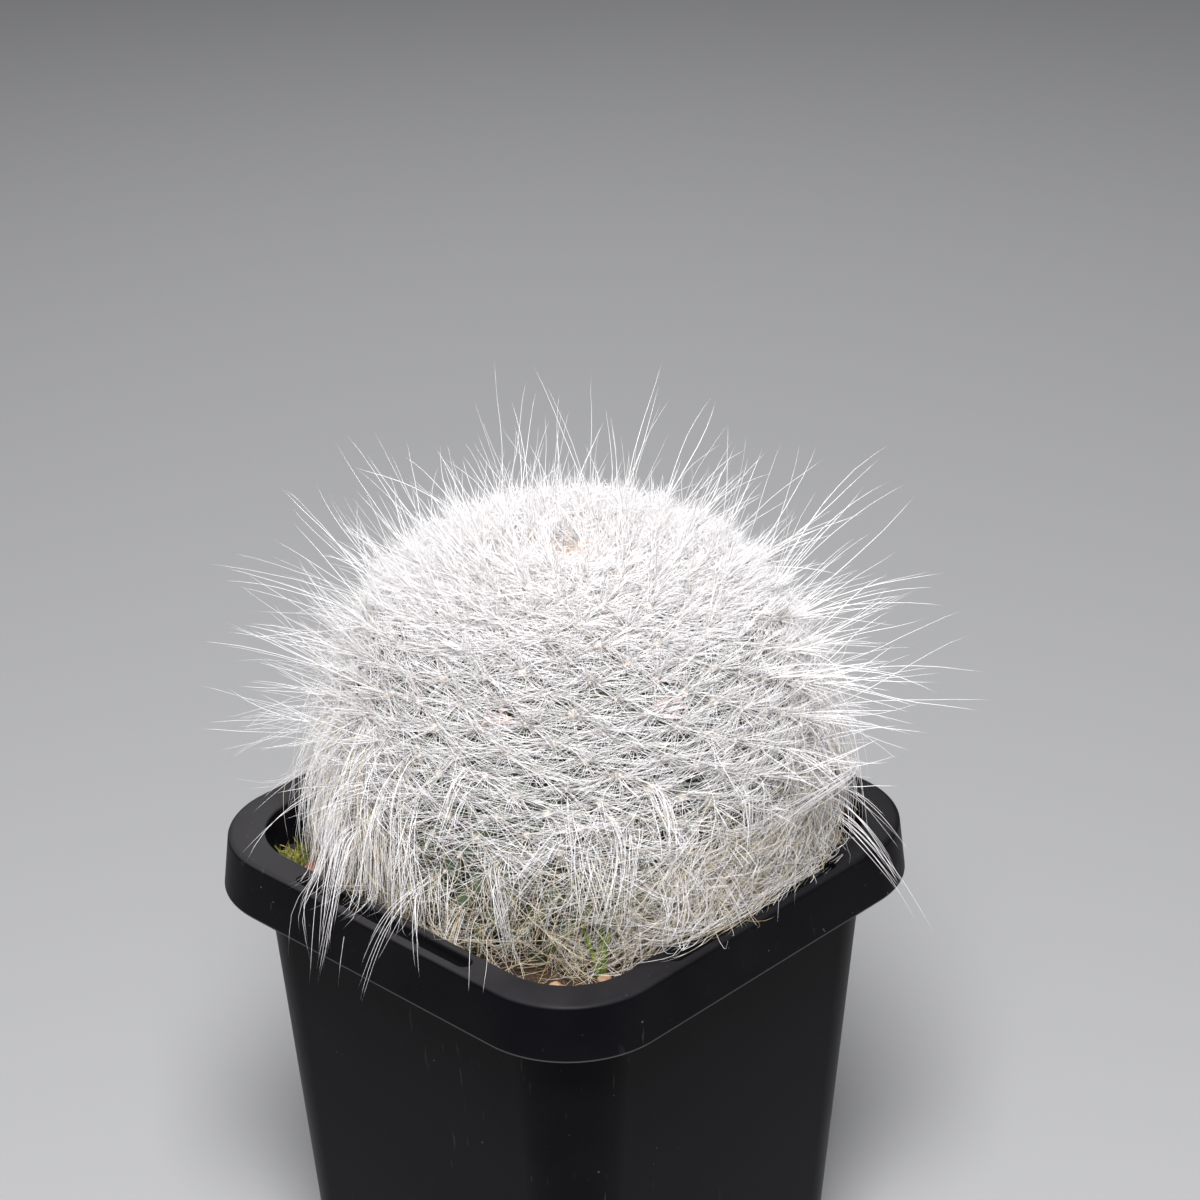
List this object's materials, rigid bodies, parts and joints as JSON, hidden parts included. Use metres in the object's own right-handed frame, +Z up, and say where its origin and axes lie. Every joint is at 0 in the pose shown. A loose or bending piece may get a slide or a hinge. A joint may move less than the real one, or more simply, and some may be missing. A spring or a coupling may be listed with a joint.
{
  "type": "potted old lady cactus",
  "caption": "Round cactus covered in white spines and long white bristles, standing in potting mix in a square black plastic growers' pot.",
  "frame": {"origin": "middle of the pot's underside, on the surface it stands on", "axes": "+Z up; the pot's four sides lie along X and Y"},
  "size_m": [0.1394, 0.1417, 0.1782],
  "materials": {
    "pot_plastic": "black moulded polypropylene, dusty, slightly glossy on the lip",
    "potting_mix": "dark brown fibrous potting mix, matt",
    "cactus": "white spines and hair-like bristles over grey-green skin",
    "grit": "matt pinkish tan grit"
  },
  "bodies": {
    "root": {"pot": "pot_plastic", "potting_mix": "potting_mix", "cactus": "cactus", "grit_chip_01": "grit", "grit_chip_02": "grit", "grit_chip_03": "grit", "grit_chip_04": "grit", "grit_chip_05": "grit", "grit_chip_06": "grit", "grit_chip_07": "grit", "grit_chip_08": "grit", "grit_chip_09": "grit", "grit_chip_10": "grit", "grit_chip_11": "grit", "grit_chip_12": "grit", "grit_chip_13": "grit", "grit_chip_14": "grit", "grit_chip_15": "grit", "grit_chip_16": "grit"}
  },
  "joints": []
}
